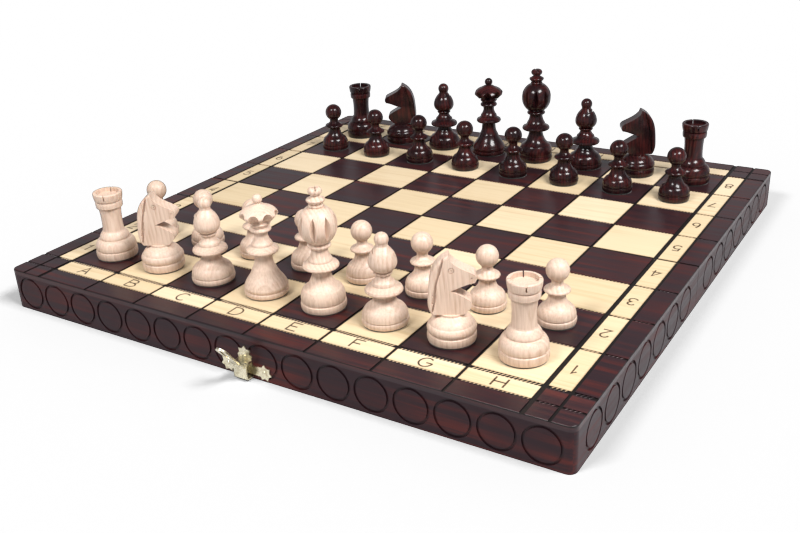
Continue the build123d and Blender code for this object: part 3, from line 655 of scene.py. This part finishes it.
class CHESS_OT_rope_lines(bpy.types.Operator):
    """Lay the slanting ridges in the burned lines along the ranks"""
    bl_idname = "chess.rope_lines"
    bl_label = "Rope lines"

    def execute(self, context):
        look = context.scene.chess_board
        material = frame["nodes"]["near_top_panel"].data.materials[0]
        for half in HALVES:
            new_piece(f"{half}_rope_lines", rope_mesh(half, look), material,
                      f"{half}_half")
        return {"FINISHED"}


class CHESS_OT_letters(bpy.types.Operator):
    """Burn the letters and figures into the pale strips"""
    bl_idname = "chess.letters"
    bl_label = "Letters and figures"

    def execute(self, context):
        look = context.scene.chess_board
        material = mark_material()
        for half in HALVES:
            new_piece(f"{half}_letters", letter_mesh(half, look), material,
                      f"{half}_half")
        return {"FINISHED"}


class CHESS_OT_rails(bpy.types.Operator):
    """Stain and varnish the rails"""
    bl_idname = "chess.rails"
    bl_label = "Rails"

    def execute(self, context):
        materials = {along: rail_material(context.scene.chess_board, along) for along in "xy"}
        for node, along in RAILS.items():
            finish_node(node, materials[along])
        return {"FINISHED"}


class CHESS_OT_men(bpy.types.Operator):
    """Finish the white and the black men"""
    bl_idname = "chess.men"
    bl_label = "Chessmen"

    def execute(self, context):
        look = context.scene.chess_men
        materials = {"white": white_men_material(look), "black": black_men_material(look)}
        for node in frame["nodes"]:
            colour = node.split("_")[0]
            if colour in materials:
                finish_node(node, materials[colour])
        return {"FINISHED"}


class CHESS_OT_felts(bpy.types.Operator):
    """Glue the felts under the men"""
    bl_idname = "chess.felts"
    bl_label = "Felts"

    def execute(self, context):
        material = felt_material(context.scene.chess_men)
        for body in MEN:
            new_piece(f"{body}_felt", felt_mesh(body), material, body)
        return {"FINISHED"}


class CHESS_OT_metals(bpy.types.Operator):
    """Finish the hasp, the catch and the hinges"""
    bl_idname = "chess.metals"
    bl_label = "Metal parts"

    def execute(self, context):
        look = context.scene.chess_metal
        brass = metal_material("brass", look.brass, look.tarnish, 0.20)
        steel = metal_material("steel", look.steel, [0.5 * c for c in look.steel], 0.28)
        for nodes, material in ((BRASS_NODES, brass), (STEEL_NODES, steel)):
            for node in nodes:
                finish_node(node, material)
        return {"FINISHED"}


# ------------------------------------------------------------------ stage

AIM = (0.0282, -0.0721)           # point on the board's top that the camera looks at
CAMERA_DISTANCE = 0.5419
CAMERA_AZIMUTH = math.radians(-32.64)
CAMERA_ELEVATION = math.radians(24.56)
CAMERA_ROLL = math.radians(-2.72)
CAMERA_LENS = 43.44
SENSOR_WIDTH = 36.0
NEAREST, FARTHEST = 0.01, 20.0    # distances that the camera sees
FLOOR_REACH = 3.0
OVERHEAD = 0.25                   # light from overhead against light from the sides
ROOM_TINT = (0.96, 0.97, 1.0)
FADE_FROM, FADE_TO = 0.05, 0.65   # heights on the unit sphere where the room turns dim
# width, height, azimuth, elevation and distance of the soft lights, in metres and degrees
KEY_PLACE = (0.45, 0.30, -75, 52, 1.1)
FILL_PLACE = (0.35, 0.25, 12, 48, 1.2)


def towards(azimuth, elevation):
    """Unit vector that looks down by an elevation, azimuth 0 along +Y."""
    return Vector((math.sin(azimuth) * math.cos(elevation),
                   math.cos(azimuth) * math.cos(elevation), -math.sin(elevation)))


def make_camera():
    """Camera over the near right corner, rolled a little."""
    data = bpy.data.cameras.new("camera")
    data.lens = CAMERA_LENS
    data.sensor_width = SENSOR_WIDTH
    camera = bpy.data.objects.new("camera", data)
    bpy.context.scene.collection.objects.link(camera)
    look = towards(CAMERA_AZIMUTH, CAMERA_ELEVATION)
    camera.location = Vector((*AIM, TOP)) - look * CAMERA_DISTANCE
    camera.rotation_mode = "QUATERNION"
    turn = look.to_track_quat("-Z", "Y")
    camera.rotation_quaternion = turn @ Quaternion((0, 0, 1), CAMERA_ROLL)
    data.clip_start, data.clip_end = NEAREST, FARTHEST
    bpy.context.scene.camera = camera


def soft_light(name, power, width, height, azimuth, elevation, distance):
    """Rectangular soft light aimed at the middle of the board."""
    data = bpy.data.lights.new(name, "AREA")
    data.shape = "RECTANGLE"
    data.size, data.size_y = width, height
    data.energy = power
    lamp = bpy.data.objects.new(name, data)
    bpy.context.scene.collection.objects.link(lamp)
    look = towards(math.radians(azimuth), math.radians(elevation))
    lamp.location = Vector((0, 0, TOP)) - look * distance
    lamp.rotation_mode = "QUATERNION"
    lamp.rotation_quaternion = look.to_track_quat("-Z", "Y")


def floor_mesh():
    """Large flat floor in the plane of the rims."""
    bm = bmesh.new()
    corners = [bm.verts.new((x * FLOOR_REACH, y * FLOOR_REACH, 0))
               for x, y in ((-1, -1), (1, -1), (1, 1), (-1, 1))]
    bm.faces.new(corners)
    mesh = bpy.data.meshes.new("floor")
    bm.to_mesh(mesh)
    bm.free()
    return mesh


def make_room(strength):
    """Pale room: white to look at, and as a light pale near the floor and dim overhead."""
    world = bpy.data.worlds.new("room")
    world.use_nodes = True
    nodes, links = world.node_tree.nodes, world.node_tree.links
    shown = nodes["Background"]
    shown.inputs["Color"].default_value = solid((1, 1, 1))
    shown.inputs["Strength"].default_value = 1.0
    direction = nodes.new("ShaderNodeTexCoord").outputs["Generated"]
    split = nodes.new("ShaderNodeSeparateXYZ")
    links.new(direction, split.inputs[0])
    fade = nodes.new("ShaderNodeMapRange")
    fade.interpolation_type = "SMOOTHSTEP"
    for socket, value in (("From Min", FADE_FROM), ("From Max", FADE_TO),
                          ("To Min", strength), ("To Max", strength * OVERHEAD)):
        fade.inputs[socket].default_value = value
    links.new(split.outputs["Z"], fade.inputs["Value"])
    lit = nodes.new("ShaderNodeBackground")
    lit.inputs["Color"].default_value = solid(ROOM_TINT)
    links.new(fade.outputs["Result"], lit.inputs["Strength"])
    mix = nodes.new("ShaderNodeMixShader")
    path = nodes.new("ShaderNodeLightPath")
    links.new(path.outputs["Is Camera Ray"], mix.inputs[0])
    links.new(lit.outputs[0], mix.inputs[1])
    links.new(shown.outputs[0], mix.inputs[2])
    links.new(mix.outputs[0], nodes["World Output"].inputs["Surface"])
    bpy.context.scene.world = world


class CHESS_OT_stage(bpy.types.Operator):
    """Set out the floor, the lights and the camera"""
    bl_idname = "chess.stage"
    bl_label = "Stage"

    def execute(self, context):
        look = context.scene.chess_stage
        floor = bpy.data.objects.new("floor", floor_mesh())
        context.scene.collection.objects.link(floor)
        g = Graph("floor", Roughness=0.9, Specular_IOR_Level=0.1)
        mottle = g.noise(g.place, 6.0, 1.0)
        g.feed(g.shader.inputs["Base Color"], g.mix(
            mottle, solid(look.floor), solid([min(1.0, 1.04 * c) for c in look.floor])))
        floor.data.materials.append(g.material)
        floor.is_shadow_catcher = True
        soft_light("key_light", look.key, *KEY_PLACE)
        soft_light("fill_light", look.fill, *FILL_PLACE)
        make_room(look.sky)
        make_camera()
        context.scene.view_settings.view_transform = "Standard"
        return {"FINISHED"}


OPERATORS = (
    CHESS_OT_board_top, CHESS_OT_rope_lines, CHESS_OT_letters, CHESS_OT_rails,
    CHESS_OT_men, CHESS_OT_felts, CHESS_OT_metals, CHESS_OT_stage)


class CHESS_PT_workshop(bpy.types.Panel):
    """Buttons and settings for the chess set's finishes"""
    bl_idname = "CHESS_PT_workshop"
    bl_label = "Chess set"
    bl_space_type = "VIEW_3D"
    bl_region_type = "UI"
    bl_category = "Chess set"

    def draw(self, context):
        for operator in OPERATORS:
            self.layout.operator(operator.bl_idname)
        for name, group in GROUPS.items():
            box = self.layout.box()
            for key in group.__annotations__:
                box.prop(getattr(context.scene, name), key)


GROUPS = {
    "chess_board": BoardFinish, "chess_men": MenFinish,
    "chess_metal": MetalFinish, "chess_stage": StageFinish}
CLASSES = (*GROUPS.values(), *OPERATORS, CHESS_PT_workshop)


def register():
    for item in CLASSES:
        bpy.utils.register_class(item)
    for name, group in GROUPS.items():
        setattr(bpy.types.Scene, name, bpy.props.PointerProperty(type=group))


def unregister():
    for name in GROUPS:
        delattr(bpy.types.Scene, name)
    for item in reversed(CLASSES):
        bpy.utils.unregister_class(item)


def main():
    register()
    for operator in OPERATORS:
        group, name = operator.bl_idname.split(".")
        getattr(getattr(bpy.ops, group), name)()


if __name__ == "__main__":
    main()
